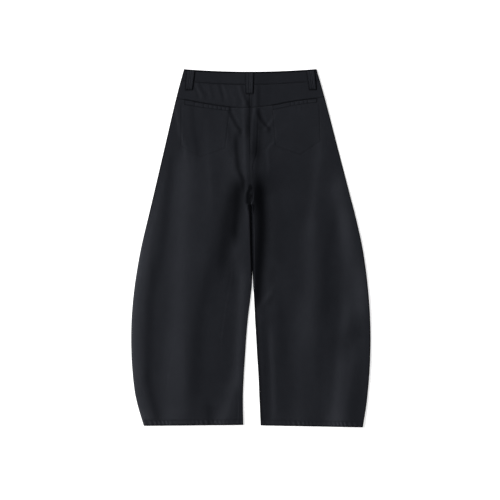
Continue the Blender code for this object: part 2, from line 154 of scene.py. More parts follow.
def waist_seam(x):
    return WAIST_SEAM + WAIST_SEAM_RISE * off_centre(x)


def front_drop(x):
    """The front waist lies a little lower than the back waist."""
    return FRONT_DROP * (1 - np.minimum(off_centre(x), 1.0))


def hem_line(side):
    """The hem of one leg, straight between its side seam and its inseam."""
    edges = leg_edges(side)
    left_end, right_end = float(edges[0](0.0)), float(edges[1](0.0))
    left_height, right_height = HEM_LEFT if side == "left" else HEM_RIGHT

    def at(x):
        share = (x - left_end) / (right_end - left_end)
        return left_height + (right_height - left_height) * share

    return at


def at_waist(height):
    """0 on the legs and 1 at the waist, which lies higher."""
    return soft_step(0.760, 0.930, height)


def lift(height):
    return LIFT * at_waist(height)


def seam_level(height):
    """How high over the surface the side seams lie."""
    return lift(height) + SEAM_LEVEL + SEAM_LIFT * at_waist(height)


def under_seam(height):
    return seam_level(height) - SEAM_PARTED


def over_seam(height):
    return seam_level(height) + SEAM_PARTED


def spread(edges, foot, head, across, along, level):
    """A grid of places on a panel, settled in a few rounds. across and along hold shares."""
    across, along = np.array(across, float)[None, :], np.array(along, float)[:, None]
    height = np.full((along.size, across.size), level)
    for _ in range(4):
        low, high = edges[0](height), edges[1](height)
        x = low + (high - low) * across
        height = foot(x) + (head(x) - foot(x)) * along
    return edges[0](height), edges[1](height), height


def shares(steps):
    """Even shares from 0 to 1 for a number of them, or the shares as given."""
    return np.linspace(0, 1, steps) if isinstance(steps, int) else steps


TURNS = 7


def panel_points(edges, foot, head, surface, columns, rows, rounds=(0, 0), **more):
    """Points on a panel's outer face, in rows from its foot to its head.

    A round is how far in from an edge the cloth bends over to its seam, or 0 for a cut edge.
    It may change with the height.
    """
    falls = more.get("falls", (steady(1.0),) * 2)
    seams = more.get("seams", (seam_level,) * 2)
    turns = (
        np.linspace(0, 1, TURNS + 1)[:-1] if rounds[0] else np.zeros(0),
        np.linspace(1, 0, TURNS + 1)[1:] if rounds[1] else np.zeros(0),
    )
    across = np.concatenate([np.zeros_like(turns[0]), shares(columns), np.ones_like(turns[1])])
    low, high, height = spread(edges, foot, head, across, shares(rows), more.get("level", 0.0))
    insets = [width(height) if callable(width) else width + 0 * height for width in rounds]
    x = low + insets[0] + (high - insets[1] - low - insets[0]) * across[None, :]
    bend, seam = np.ones_like(height), np.zeros_like(height)
    parts = slice(0, len(turns[0])), slice(len(across) - len(turns[1]), None)
    for k, (edge, inwards) in enumerate(((low, 1), (high, -1))):
        part, angle = (slice(None), parts[k]), np.pi / 2 * turns[k]
        x[part] = edge[part] + inwards * insets[k][part] * (1 - np.cos(angle))
        bend[part] = 1 - (1 - np.sin(angle)) * falls[k](height[part])
        seam[part] = seams[k](height[part])
    z = seam + (surface(x, height) - seam) * bend
    return np.stack([x, height - MIDDLE, z], axis=2)


def new_object(name, data):
    """An object with this data, in the scene."""
    made = bpy.data.objects.new(name, data)
    bpy.context.scene.collection.objects.link(made)
    return made


def finished_mesh(piece):
    """The mesh that an object's curve or modifiers come to."""
    graph = bpy.context.evaluated_depsgraph_get()
    return bpy.data.meshes.new_from_object(piece.evaluated_get(graph))


def cloth_piece(name, points, material, node, cut, on=(), thick=CLOTH_THICK, **more):
    """A closed wall of cloth from the points of its outer face, in the place of a CAD node.

    cut, the flat width, length and area of what shows, and on, which names what the piece lies on,
    are not used.
    """
    rows, columns = points.shape[:2]
    index = np.arange(rows * columns).reshape(rows, columns)
    quads = np.stack([index[:-1, :-1], index[:-1, 1:], index[1:, 1:], index[1:, :-1]], axis=2)
    quads = quads.reshape(-1, 4)
    if more.get("looks_down"):
        quads = quads[:, ::-1]
    mesh = bpy.data.meshes.new(name)
    mesh.from_pydata(points.reshape(-1, 3).tolist(), [], quads.tolist())
    mesh.shade_smooth()
    mesh.materials.append(material)
    # Each piece carries painted shade, from 0 to 1, as an attribute that darkens its colour and
    # reflection.
    crevice = mesh.attributes.new("crevice", "FLOAT", "POINT")
    if "shade" in more:
        darkness = more["shade"](points[..., 0], points[..., 1] + MIDDLE)
        crevice.data.foreach_set("value", darkness.reshape(-1).astype(np.float32))
    piece = new_object(name, mesh)
    wall = piece.modifiers.new("wall", "SOLIDIFY")
    wall.thickness = thick
    wall.offset = -1
    wall.use_even_offset = True
    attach(piece, "root")
    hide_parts(node)
    return piece


def feed(tree, socket, source):
    """Gives a socket a plain value or another node's output."""
    if isinstance(source, bpy.types.NodeSocket):
        tree.links.new(source, socket)
    else:
        socket.default_value = source


def feed_all(tree, node, values):
    """Gives a node its inputs by their labels, and its settings by their names."""
    for key, value in values.items():
        label = key.replace("_", " ")
        if label in node.inputs:
            feed(tree, node.inputs[label], value)
        else:
            setattr(node, key, value)


def add_node(tree, kind, **values):
    node = tree.nodes.new(kind)
    feed_all(tree, node, values)
    return node


def combined(tree, operation, *sources):
    """Plain numbers and other nodes' outputs, put together by a math node."""
    node = add_node(tree, "ShaderNodeMath", operation=operation)
    for socket, source in zip(node.inputs, sources):
        feed(tree, socket, source)
    return node.outputs["Value"]


def texture(tree, kind, **values):
    """The grey of a texture that is laid on the piece by its own places."""
    place = tree.nodes.get("Texture Coordinate") or tree.nodes.new("ShaderNodeTexCoord")
    node = add_node(tree, f"ShaderNodeTex{kind}", Vector=place.outputs["Object"], **values)
    return node.outputs["Fac"]


def bump(tree, height, strength, distance):
    """The small relief of a grey."""
    node = add_node(tree, "ShaderNodeBump", Strength=strength, Distance=distance, Height=height)
    return node.outputs["Normal"]


def clouded(tree, grey, dark, light, span=(0.0, 1.0)):
    """A colour that goes from dark to light as the grey crosses the span."""
    ramp = add_node(tree, "ShaderNodeValToRGB", Fac=grey)
    for element, position, colour in zip(ramp.color_ramp.elements, span, (dark, light)):
        element.color, element.position = (*colour, 1.0), position
    return ramp.outputs["Color"]


def new_material(name):
    """A fresh Principled material and its node tree."""
    material = bpy.data.materials.new(name)
    material.use_nodes = True
    return material, material.node_tree


def shaded(material, **values):
    """The material, with its shader's inputs given."""
    tree = material.node_tree
    feed_all(tree, tree.nodes["Principled BSDF"], values)
    return material


def trouser_cloth():
    """Black twill with a slight blue cast, brushed softly so that it has a dull sheen."""
    material, tree = new_material("black_trouser_cloth")
    crevice = add_node(tree, "ShaderNodeAttribute", attribute_name="crevice").outputs["Fac"]

    def with_painted_shade(plain, deep):
        """A colour that gives way to a darker one where shade is painted."""
        mix = add_node(tree, "ShaderNodeMix", data_type="RGBA", Factor=crevice)
        # The colours of a mix node come after its numbers and vectors.
        first, second, result = mix.inputs[6], mix.inputs[7], mix.outputs[2]
        feed(tree, first, plain)
        feed(tree, second, deep)
        return result

    clouds = texture(tree, "Noise", Scale=38.0, Detail=5.0, Roughness=0.6)
    black = clouded(tree, clouds, (0.0028, 0.0032, 0.0046), (0.0040, 0.0044, 0.0060), (0.3, 0.7))
    twill = texture(
        tree, "Wave", Scale=420.0, Distortion=0.6, Detail=1.0, bands_direction="DIAGONAL")
    yarn = texture(tree, "Wave", Scale=520.0, Distortion=0.4, bands_direction="Y")
    slub = texture(tree, "Noise", Scale=900.0, Detail=3.0)
    relief = combined(tree, "MULTIPLY_ADD", slub, 0.6, combined(tree, "MULTIPLY", twill, yarn))
    # Painted shade darkens the colour and the reflection in the seams, bends and hollows.
    return shaded(
        material, Roughness=0.46, Specular_IOR_Level=0.25, Sheen_Weight=0.03, Sheen_Roughness=0.4,
        Sheen_Tint=(0.75, 0.82, 1.0, 1.0),
        Base_Color=with_painted_shade(black, (0.0012, 0.0013, 0.0017, 1.0)),
        Specular_Tint=with_painted_shade((0.82, 0.86, 1.0, 1.0), (0.10, 0.11, 0.14, 1.0)),
        Normal=bump(tree, relief, 0.35, 0.00012),
    )


def stitch_nodes():
    """Geometry nodes that lay a stitch at every pitch along the edges of a mesh."""
    tree = bpy.data.node_groups.new("stitch_row", "GeometryNodeTree")
    for label, kind in (
        ("Line", "Geometry"), ("Pitch", "Float"), ("Stitch length", "Float"),
        ("Thread radius", "Float"), ("Thread", "Material"),
    ):
        tree.interface.new_socket(label, in_out="INPUT", socket_type=f"NodeSocket{kind}")
    tree.interface.new_socket("Stitches", in_out="OUTPUT", socket_type="NodeSocketGeometry")
    given = tree.nodes.new("NodeGroupInput").outputs
    curve = add_node(tree, "GeometryNodeMeshToCurve", Mesh=given["Line"]).outputs["Curve"]
    points = add_node(
        tree, "GeometryNodeResampleCurve", mode="LENGTH", Curve=curve, Length=given["Pitch"])
    tangent = tree.nodes.new("GeometryNodeInputTangent").outputs["Tangent"]
    turned = add_node(tree, "FunctionNodeAlignRotationToVector", axis="X", Vector=tangent)
    bead = add_node(tree, "GeometryNodeMeshUVSphere", Segments=6, Rings=4, Radius=0.5)
    across = combined(tree, "MULTIPLY", given["Thread radius"], 2.0)
    size = add_node(tree, "ShaderNodeCombineXYZ", X=given["Stitch length"], Y=across, Z=across)
    laid = add_node(
        tree, "GeometryNodeInstanceOnPoints", Points=points.outputs["Curve"],
        Instance=bead.outputs["Mesh"], Rotation=turned.outputs["Rotation"],
        Scale=size.outputs["Vector"],
    )
    real = add_node(tree, "GeometryNodeRealizeInstances", Geometry=laid.outputs["Instances"])
    made = add_node(
        tree, "GeometryNodeSetMaterial", Geometry=real.outputs["Geometry"],
        Material=given["Thread"],
    )
    add_node(tree, "NodeGroupOutput", Stitches=made.outputs["Geometry"])
    return tree


def thread_material():
    """Black spun polyester thread, with its twist."""
    material, tree = new_material("black_thread")
    twist = texture(tree, "Wave", Scale=700.0, Distortion=0.5)
    return shaded(
        material, Roughness=0.7, Base_Color=(0.0034, 0.0036, 0.0046, 1.0),
        Specular_IOR_Level=0.15, Normal=bump(tree, twist, 0.4, 0.00008),
    )


def sewn(name, rows, pitch=0.0030, length=0.0023, radius=0.00022, made_of=None, slot="cloth"):
    """A mesh of stitches along rows, each a line of points (x, height, level)."""
    line = bpy.data.meshes.new(f"{name}_line")
    vertices, edges = [], []
    for row in rows:
        first = len(vertices)
        vertices += [(x, height - MIDDLE, level) for x, height, level in row]
        edges += [(k, k + 1) for k in range(first, len(vertices) - 1)]
    line.from_pydata(vertices, edges, [])
    piece = new_object(name, line)
    laid = piece.modifiers.new("stitches", "NODES")
    laid.node_group = stitch_tree
    given = {"Pitch": pitch, "Stitch length": length, "Thread radius": radius}
    given["Thread"] = made_of or thread
    for socket in stitch_tree.interface.items_tree:
        if socket.in_out == "INPUT" and socket.name in given:
            laid[socket.identifier] = given[socket.name]
    mesh = finished_mesh(piece)
    piece.modifiers.remove(laid)
    piece.data = mesh
    mesh.shade_smooth()
    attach(piece, "root")
    return piece


def row_on(face, places):
    """A row of points on a face, from its (x, height) places."""
    x, height = np.array(places).T
    return list(zip(x.tolist(), height.tolist(), face(x, height).tolist()))


cloth = trouser_cloth()
stitch_tree = stitch_nodes()
thread = thread_material()
HEM_DEPTH = 0.015
SIDE_ROUND = 0.0022
SIDE_ROUNDS = {"left": (SIDE_ROUND, 0), "right": (0, SIDE_ROUND)}


def hem_row(side, face, insets, count):
    """The row of stitches that holds a turned-up hem."""
    hem = hem_line(side)
    low_x, high_x = (float(edge(HEM_DEPTH)) for edge in leg_edges(side))
    places = np.linspace(low_x + insets[0], high_x - insets[1], count)
    return row_on(face, [(x, float(hem(x)) + HEM_DEPTH) for x in places])


def front_face(x, height):
    return lift(height) + 0 * x


def front_shade(x, height):
    """Painted shade along the centre front seam, the side seams and the inseams."""
    from_seam = np.minimum(np.abs(x - left_inseam(height)), np.abs(x - right_inseam(height)))
    from_side = np.minimum(x - left_side(height), right_side(height) - x)
    return 0.85 * glow(np.minimum(from_seam, from_side), SIDE_ROUND)


# The fly facing is caught down along this curve on the front that laps over.
FLY_X, FLY_HEAD, FLY_STEP = -0.0336, 0.935, 0.0011
FLY_BEND_X, FLY_BEND, FLY_BEND_WIDTH, FLY_BEND_DEPTH = -0.0046, 0.825, 0.029, 0.036
FLY_CURVE = [(FLY_X, FLY_HEAD - FLY_STEP * k) for k in range(100)] + [
    (FLY_BEND_X - FLY_BEND_WIDTH * math.cos(a), FLY_BEND - FLY_BEND_DEPTH * math.sin(a))
    for a in np.linspace(0.1, 1.5, 24)
]
FRONTS_ASIDE = 0.0008


def front_edges(side):
    """Above the legs the fronts meet a little beside the backs, so no light falls through both."""
    low, high = leg_edges(side)

    def aside(edge):
        return lambda height: edge(height) + FRONTS_ASIDE * soft_step(0.400, 0.470, height)

    return (low, aside(high)) if side == "left" else (aside(low), high)


for side in ("left", "right"):
    points = panel_points(
        front_edges(side), hem_line(side), lambda x: waist_seam(x) - front_drop(x),
        front_face, 40, 120, SIDE_ROUNDS[side], seams=(under_seam,) * 2,
    )
    rows = [hem_row(side, front_face, (0.004, 0.004), 60)]
    if side == "left":
        rows.append(row_on(front_face, FLY_CURVE))
    stitches = sewn(f"front_{side}_stitches", rows)
    cloth_piece(f"front_{side}_panel", points, cloth, f"front_{side}", (0.356, 0.955, 0.262),
                ["floor"], looks_down=True, shade=front_shade, carries=[stitches])


# Back panels
# The two backs run from the yoke seam to the hem and make the top of the garment as it lies.
# They bend over to the side seams and the inseams, and meet at the centre back seam.

LEG_LEVEL = 0.0064
SEAT_LEVEL = 0.0056
FOLD_FADE = 0.080
# Above these heights a fold of one leg may reach the other.
LEGS_JOIN = (0.600, 0.680)
CROTCH = 0.623

# The folds: where the rise is positive the cloth climbs towards +X along the fold's line, and
# where it is negative it drops.
LARGE_FOLDS = (
    # low x, low height, middle x, middle height, high x, high height, half width, rise
    # The left leg, from its side to its inseam.
    (-0.290, 0.52, -0.260, 0.64, -0.230, 0.77, 0.012, 0.0003),
    (-0.265, 0.03, -0.275, 0.08, -0.290, 0.14, 0.014, -0.0006),
    (-0.287, 0.15, -0.284, 0.30, -0.272, 0.43, 0.015, -0.0010),
    (-0.255, 0.46, -0.240, 0.58, -0.225, 0.73, 0.014, -0.0007),
    (-0.210, 0.05, -0.205, 0.30, -0.188, 0.73, 0.036, 0.0022),
    (-0.235, 0.04, -0.235, 0.13, -0.230, 0.24, 0.024, 0.0008),
    (-0.190, 0.06, -0.190, 0.14, -0.195, 0.22, 0.018, 0.0004),
    (-0.155, 0.12, -0.145, 0.29, -0.110, 0.45, 0.022, -0.0013),
    (-0.105, 0.50, -0.100, 0.60, -0.095, 0.70, 0.022, -0.0005),
    (-0.085, 0.47, -0.070, 0.57, -0.050, 0.65, 0.020, -0.0016),
    (-0.045, 0.55, -0.040, 0.61, -0.035, 0.66, 0.010, -0.0007),
    (-0.100, 0.36, -0.080, 0.45, -0.060, 0.54, 0.014, -0.0003),
    (-0.088, 0.01, -0.070, 0.05, -0.047, 0.12, 0.026, 0.0021),
    (-0.036, 0.17, -0.030, 0.29, -0.024, 0.40, 0.019, 0.0019),
    (-0.115, 0.01, -0.117, 0.03, -0.120, 0.06, 0.012, -0.0004),
    # The left back and the middle of the seat.
    (-0.150, 0.78, -0.160, 0.83, -0.165, 0.88, 0.009, -0.0004),
    (-0.185, 0.78, -0.200, 0.83, -0.210, 0.88, 0.007, 0.0004),
    (-0.115, 0.66, -0.120, 0.73, -0.125, 0.82, 0.012, 0.0003),
    (-0.055, 0.78, -0.060, 0.82, -0.065, 0.86, 0.008, -0.0003),
    (-0.022, 0.69, -0.036, 0.73, -0.042, 0.79, 0.008, -0.0006),
    (-0.012, 0.60, -0.016, 0.70, -0.022, 0.88, 0.006, 0.0003),
    # The right leg, from its inseam to its side.
    (0.080, 0.48, 0.085, 0.57, 0.070, 0.66, 0.026, -0.0010),
    (0.040, 0.03, 0.040, 0.16, 0.035, 0.27, 0.013, -0.0008),
    (0.064, 0.06, 0.060, 0.16, 0.056, 0.23, 0.010, 0.0006),
    (0.090, 0.22, 0.085, 0.30, 0.080, 0.38, 0.016, -0.0006),
    (0.135, 0.04, 0.135, 0.18, 0.140, 0.32, 0.032, 0.0020),
    (0.176, 0.08, 0.168, 0.34, 0.165, 0.54, 0.030, 0.0021),
    (0.205, 0.08, 0.210, 0.18, 0.220, 0.30, 0.018, 0.0009),
    (0.220, 0.27, 0.210, 0.42, 0.230, 0.57, 0.016, -0.0006),
    (0.220, 0.01, 0.235, 0.08, 0.250, 0.17, 0.030, 0.0023),
    (0.235, 0.04, 0.245, 0.17, 0.265, 0.32, 0.026, 0.0017),
    (0.260, 0.30, 0.262, 0.44, 0.258, 0.56, 0.024, 0.0011),
    (0.255, 0.02, 0.267, 0.10, 0.285, 0.20, 0.026, 0.0022),
    (0.300, 0.34, 0.280, 0.50, 0.242, 0.66, 0.036, 0.0035),
    (0.320, 0.06, 0.320, 0.24, 0.315, 0.42, 0.028, 0.0021),
    # The right back, below its pocket.
    (0.170, 0.59, 0.180, 0.69, 0.190, 0.78, 0.018, 0.0009),
)
# Where the cloth drops beside a roll and comes up again slowly, in the same columns.
LEDGES = (
    (0.018, 0.39, 0.027, 0.58, 0.024, 0.64, 0.013, -0.0042),
)
# The small creases: on the legs, the yokes and a welt, below the yokes and at the crotch.
FINE_FOLDS = (
    # On the legs.
    (0.020, 0.334, 0.034, 0.351, 0.054, 0.379, 0.0095, 0.0006),
    (-0.232, 0.140, -0.222, 0.190, -0.214, 0.235, 0.0034, 0.0001),
    (-0.083, 0.245, -0.069, 0.345, -0.054, 0.420, 0.0040, 0.0001),
    (-0.037, 0.012, -0.035, 0.040, -0.036, 0.075, 0.0022, 0.0002),
    (-0.106, 0.004, -0.104, 0.009, -0.102, 0.015, 0.0030, 0.0004),
    # Below the yokes.
    (0.042, 0.838, 0.052, 0.850, 0.062, 0.866, 0.0070, 0.0004),
    (0.050, 0.836, 0.035, 0.851, 0.020, 0.880, 0.0070, -0.0006),
    (-0.031, 0.832, -0.041, 0.846, -0.060, 0.882, 0.0070, -0.0005),
    (0.000, 0.790, 0.003, 0.850, 0.010, 0.905, 0.0060, 0.0003),
    (0.005, 0.735, 0.015, 0.775, 0.018, 0.838, 0.0030, -0.0003),
    (0.048, 0.730, 0.045, 0.773, 0.066, 0.803, 0.0080, 0.0003),
    # On the yokes, where they are eased into the waistband.
    (-0.126, 0.929, -0.135, 0.943, -0.144, 0.956, 0.0080, -0.0004),
    (-0.140, 0.924, -0.146, 0.939, -0.152, 0.954, 0.0070, 0.0002),
    (-0.150, 0.929, -0.154, 0.939, -0.158, 0.950, 0.0050, -0.0002),
    (-0.105, 0.925, -0.109, 0.940, -0.113, 0.954, 0.0060, -0.0002),
    (-0.079, 0.920, -0.083, 0.937, -0.087, 0.954, 0.0070, -0.0004),
    (-0.068, 0.929, -0.074, 0.941, -0.080, 0.954, 0.0080, 0.0002),
    (-0.045, 0.908, -0.050, 0.922, -0.058, 0.936, 0.0070, 0.0002),
    (-0.019, 0.912, -0.028, 0.934, -0.033, 0.950, 0.0075, 0.0002),
    (-0.010, 0.908, -0.018, 0.923, -0.027, 0.954, 0.0070, -0.0002),
    (0.021, 0.880, 0.021, 0.915, 0.021, 0.953, 0.0080, -0.0002),
    # On the right welt.
    (0.126, 0.885, 0.126, 0.891, 0.126, 0.899, 0.0035, -0.0002),
    (0.141, 0.885, 0.141, 0.891, 0.141, 0.899, 0.0035, -0.0002),
    # At the crotch, where the four seams meet.
    (-0.009, 0.636, -0.009, 0.652, -0.001, 0.669, 0.0022, -0.0003),
    (-0.003, 0.631, -0.003, 0.647, -0.002, 0.664, 0.0018, 0.0003),
    (0.000, 0.625, 0.006, 0.636, 0.008, 0.650, 0.0025, 0.0004),
)


def along_lines(table, x, height, profile):
    """Adds up a table's lines, each with its own strength and its profile across the line."""
    total = np.zeros_like(x)
    for low_x, low, middle_x, middle, high_x, high, half_width, strength in table:
        path = through((low, middle, high), (low_x, middle_x, high_x))
        run = min(FOLD_FADE, (high - low) / 2)
        along = between(height, (low - run, low), (high, high + run))
        same_leg = (x < parting(height)) == (middle_x < CENTRE_X)
        along = along * np.where(same_leg, 1.0, soft_step(*LEGS_JOIN, height))
        lean = math.hypot(high_x - low_x, high - low) / (high - low)
        total += strength * along * profile((x - path(height)) / (half_width * lean))
    return total


def broad_climb(across):
    """A climb that goes down again slowly on both sides, for a large fold."""
    return np.tanh(1.2 * across) - np.tanh(0.3 * across)


def small_climb(across):
    """A dip and a rise beside each other, for a small crease."""
    return across * np.exp(-across * across)


def ledge(across):
    """A step that comes back slowly on its right."""
    return 0.5 * (1 + np.tanh(1.2 * across)) * np.exp(-((np.maximum(across, 0) / 4) ** 2))


def hollow(across):
    return np.exp(-across * across)


def on_seat(height):
    """0 on the legs and 1 on the seat."""
    return soft_step(0.600, 0.740, height)


LEG_ROUND = 0.0010
# The step at the centre seam, and how far it reaches.
STEP, STEP_WIDTH = 0.0002, 0.006
# Near the left side the lower leg falls away: each drop has its depth and its width.
WIDE_DROP, WIDE_DROP_WIDTH = 0.0010, 0.026
STEEP_DROP, STEEP_DROP_WIDTH = 0.0019, 0.011


def crown(x, height):
    """Each leg stands a little higher between its seams."""
    on_left = x < parting(height)
    low = np.where(on_left, left_side(height), right_inseam(height))
    high = np.where(on_left, left_inseam(height), right_side(height))
    across = np.clip(2 * (x - low) / (high - low) - 1, -1, 1)
    rise = LEG_ROUND * (1 - across ** 4) * (1 - on_seat(height))
    from_side = np.maximum(x - left_side(height), 0)
    drop = WIDE_DROP * glow(from_side, WIDE_DROP_WIDTH)
    drop = drop + STEEP_DROP * np.exp(-from_side / STEEP_DROP_WIDTH)
    return rise - between(height, (0.0, 0.040), (0.420, 0.720)) * drop


def ditch(distance, half_width, depth):
    """A narrow hollow along a seam."""
    return -depth * glow(distance, half_width)


def centre_seam(x, height):
    """The centre back seam is pressed to one side, so the left back stands a little higher."""
    from_seam = x - parting(height)
    step = np.where(from_seam < 0, STEP * glow(from_seam, STEP_WIDTH), 0.0)
    return soft_step(0.680, 0.770, height) * (step + ditch(from_seam, 0.0012, 0.0001))


def all_folds(x, height):
    total = along_lines(LARGE_FOLDS, x, height, broad_climb)
    total += along_lines(LEDGES, x, height, ledge)
    return total + along_lines(FINE_FOLDS, x, height, small_climb)


LAP_RISE, LAP_HALF_WIDTH = 0.0009, 0.045
SWELL, SWELL_HALF_WIDTH = 0.0030, 0.080
LIP, LIP_HALF_WIDTH, LIP_ASIDE = 0.0004, 0.0024, 0.0070
LOWEST, LOWEST_ROUND = 0.0026, 0.0008


def back_face(x, height):
    """The outer face of the back before its seams."""
    z = LEG_LEVEL + (SEAT_LEVEL - LEG_LEVEL) * on_seat(height) + crown(x, height)
    # Over the lap of the front waistband.
    z = z + LAP_RISE * at_waist(height) * glow(x - CENTRE_X, LAP_HALF_WIDTH)
    # Where the four seams bunch up round the crotch.
    z = z + SWELL * between(height, (0.360, 0.500), (0.700, 0.830)) * glow(x, SWELL_HALF_WIDTH)
    # The rolled lip beside the gap between the legs.
    beside_gap = between(height, (0.400, 0.440), (0.595, 0.620))
    z = z + LIP * beside_gap * small_climb((x - parting(height) - LIP_ASIDE) / LIP_HALF_WIDTH)
    z = z + all_folds(x, height)
    # No fold goes deeper than the front under it.
    z = 0.5 * (z + LOWEST + np.sqrt((z - LOWEST) ** 2 + LOWEST_ROUND ** 2))
    return lift(height) + z + centre_seam(x, height)


YOKE_SEAM = (
    # x, height
    (-0.2055, 0.9184), (-0.1789, 0.9162), (-0.1537, 0.9114), (-0.1257, 0.9066),
    (-0.0921, 0.9013), (-0.0585, 0.8966), (-0.0305, 0.8943), (-0.0036, 0.8949),
    (0.0199, 0.8971), (0.0479, 0.8999), (0.0647, 0.9027), (0.1095, 0.9111),
    (0.1515, 0.9173), (0.1823, 0.9206), (0.2047, 0.9240),
)
yoke_seam = through(*np.array(YOKE_SEAM).T)


def steps_between(bands):
    """Shares from 0 to 1, from (share reached, count) bands, finer where the detail is."""
    places, start = [np.zeros(1)], 0.0
    for end, count in bands:
        places.append(np.linspace(start, end, count + 1)[1:])
        start = end
    return np.concatenate(places)


def from_line(x, height, points):
    """The distance from a line of straight runs."""
    nearest = np.full_like(x, 1.0)
    for (start_x, start), (end_x, end) in zip(points[:-1], points[1:]):
        run_x, run = end_x - start_x, end - start
        share = ((x - start_x) * run_x + (height - start) * run) / (run_x ** 2 + run ** 2)
        share = np.clip(share, 0, 1)
        away = np.hypot(x - start_x - share * run_x, height - start - share * run)
        nearest = np.minimum(nearest, away)
    return nearest


# The pocket bags are caught down to the backs along these lines.
BAG_LINES = (
    ((-0.1949, 0.8990), (-0.1949, 0.7902), (-0.1926, 0.7862), (-0.1403, 0.7571),
     (-0.0725, 0.7818), (-0.0616, 0.8742)),
    ((0.0616, 0.8834), (0.0692, 0.7879), (0.1386, 0.7638), (0.1940, 0.8016), (0.1907, 0.9077)),
)


def bag_lines(x, height):
    return np.minimum(*(from_line(x, height, line) for line in BAG_LINES))


# Painted shade in the deep hollows that little light reaches, with a darkness in place of the rise.
PAINTED_HOLLOW_SHADE = (
    (0.017, 0.38, 0.028, 0.58, 0.026, 0.65, 0.019, 0.75),
    (0.060, 0.50, 0.055, 0.60, 0.050, 0.66, 0.028, 0.22),
    (-0.092, 0.52, -0.085, 0.60, -0.080, 0.68, 0.030, 0.12),
    (0.055, 0.36, 0.057, 0.40, 0.059, 0.43, 0.014, 0.34),
    (-0.055, 0.41, -0.058, 0.46, -0.060, 0.50, 0.016, 0.22),
    (-0.150, 0.78, -0.135, 0.83, -0.125, 0.88, 0.035, 0.10),
    (0.010, 0.64, 0.014, 0.70, 0.018, 0.77, 0.013, 0.42),
    (0.008, 0.77, 0.012, 0.80, 0.016, 0.84, 0.010, 0.30),
    (0.020, 0.77, 0.024, 0.80, 0.026, 0.83, 0.0100, 0.22),
    (-0.047, 0.55, -0.040, 0.60, -0.036, 0.66, 0.018, 0.64),
    (-0.078, 0.48, -0.070, 0.57, -0.062, 0.63, 0.020, 0.28),
    (-0.021, 0.69, -0.037, 0.73, -0.042, 0.79, 0.0070, 0.45),
    (-0.006, 0.68, -0.006, 0.76, -0.008, 0.84, 0.0080, 0.30),
    (-0.008, 0.83, -0.006, 0.86, -0.004, 0.90, 0.0070, 0.36),
    (-0.004, 0.90, -0.004, 0.91, -0.004, 0.93, 0.0080, 0.22),
    (-0.010, 0.91, -0.018, 0.93, -0.024, 0.95, 0.0060, 0.30),
    (0.022, 0.86, 0.023, 0.90, 0.022, 0.94, 0.0080, 0.28),
    (0.050, 0.836, 0.035, 0.853, 0.021, 0.875, 0.0065, 0.35),
    (-0.031, 0.832, -0.041, 0.846, -0.060, 0.882, 0.0060, 0.35),
    (-0.115, 0.01, -0.117, 0.03, -0.119, 0.05, 0.0140, 0.16),
    (-0.255, 0.02, -0.268, 0.05, -0.280, 0.09, 0.0090, 0.15),
    (-0.010, 0.634, -0.009, 0.653, -0.002, 0.667, 0.0046, 1.30),
    (-0.003, 0.628, -0.004, 0.637, -0.001, 0.647, 0.0036, 1.10),
)
# The painted shade in the gap between the legs: its half width at each height.
GAP_HEIGHTS = (0.392, 0.420, 0.524, 0.588, 0.603, 0.614, 0.622, 0.626)
GAP_HALF_WIDTHS = (0.0020, 0.0046, 0.0060, 0.0064, 0.0078, 0.0100, 0.0110, 0.0010)
gap_half_width = through(GAP_HEIGHTS, GAP_HALF_WIDTHS)


# Painted shade, from 0 to 1, over the gap between the legs.
def painted_gap_shade(x, height):
    middle = parting(height) + 0.0010 * soft_step(0.400, 0.460, height)
    half = gap_half_width(height)
    there = between(height, (0.385, 0.400), (0.623, 0.628))
    return there * (1 - soft_step(0.7 * half, 1.3 * half, np.abs(x - middle)))


def rim(distance):
    """1 on an edge that the light misses, and 0 from a few millimetres inside it."""
    return 1 - soft_step(0.0016, 0.0044, distance)


def darkest(*layers):
    return np.max(np.broadcast_arrays(*layers), axis=0)


WELT_SPANS = ((-0.1868, -0.0582), (0.0605, 0.1851))


def back_shade(x, height):
    """How much painted shade each place gets for its seams, bends and crevices, from 0 to 1."""
    mouth = sum(
        between(x, (left_x - 0.004, left_x + 0.004), (right_x - 0.003, right_x + 0.012))
        for left_x, right_x in WELT_SPANS
    )
    above = soft_step(0.700, 0.780, height)
    hips = soft_step(0.500, 0.620, height)
    return darkest(
        np.minimum(along_lines(PAINTED_HOLLOW_SHADE, x, height, hollow), 0.92),
        0.75 * above * glow(x - parting(height), 0.0022),
        0.22 * glow(bag_lines(x, height), 0.0014),
        0.9 * hips * rim(x - left_side(height)),
        0.9 * rim(right_side(height) - x),
        0.97 * painted_gap_shade(x, height),
        (0.34 + 0.4 * mouth) * glow(height - yoke_seam(x), 0.0012 + 0.0006 * mouth),
    )


def left_inseam_round(height):
    """How far in the cloth bends over, wider where the legs touch."""
    return 0.0022 + 0.0022 * soft_step(0.36, 0.44, height)


def right_inseam_round(height):
    """The same at the right inseam, which rolls more."""
    return 0.0016 + 0.0040 * soft_step(0.37, 0.41, height)


def crotch_fall(height):
    """1 along the inseams and 0 above the crotch, where the backs stay up."""
    return 1 - soft_step(CROTCH - 0.012, CROTCH + 0.006, height)


HEM_RISE, HEM_RISE_REACH = 0.0045, 0.028
PUCKER, PUCKER_PITCH, PUCKER_SLANT = 0.00024, 0.0122, 0.35


def hem_puckers(x, over_hem):
    """The slanted ripples in the turned-up hem, uneven along it."""
    turned_up = between(over_hem, (0.0, 0.003), (0.010, 0.017))
    slant = x + PUCKER_SLANT * over_hem + 0.0025 * np.sin(x / 0.013)
    uneven = 0.6 + 0.4 * np.sin(x / 0.021 + 1.3)
    return PUCKER * turned_up * uneven * np.sin(2 * math.pi * slant / PUCKER_PITCH)


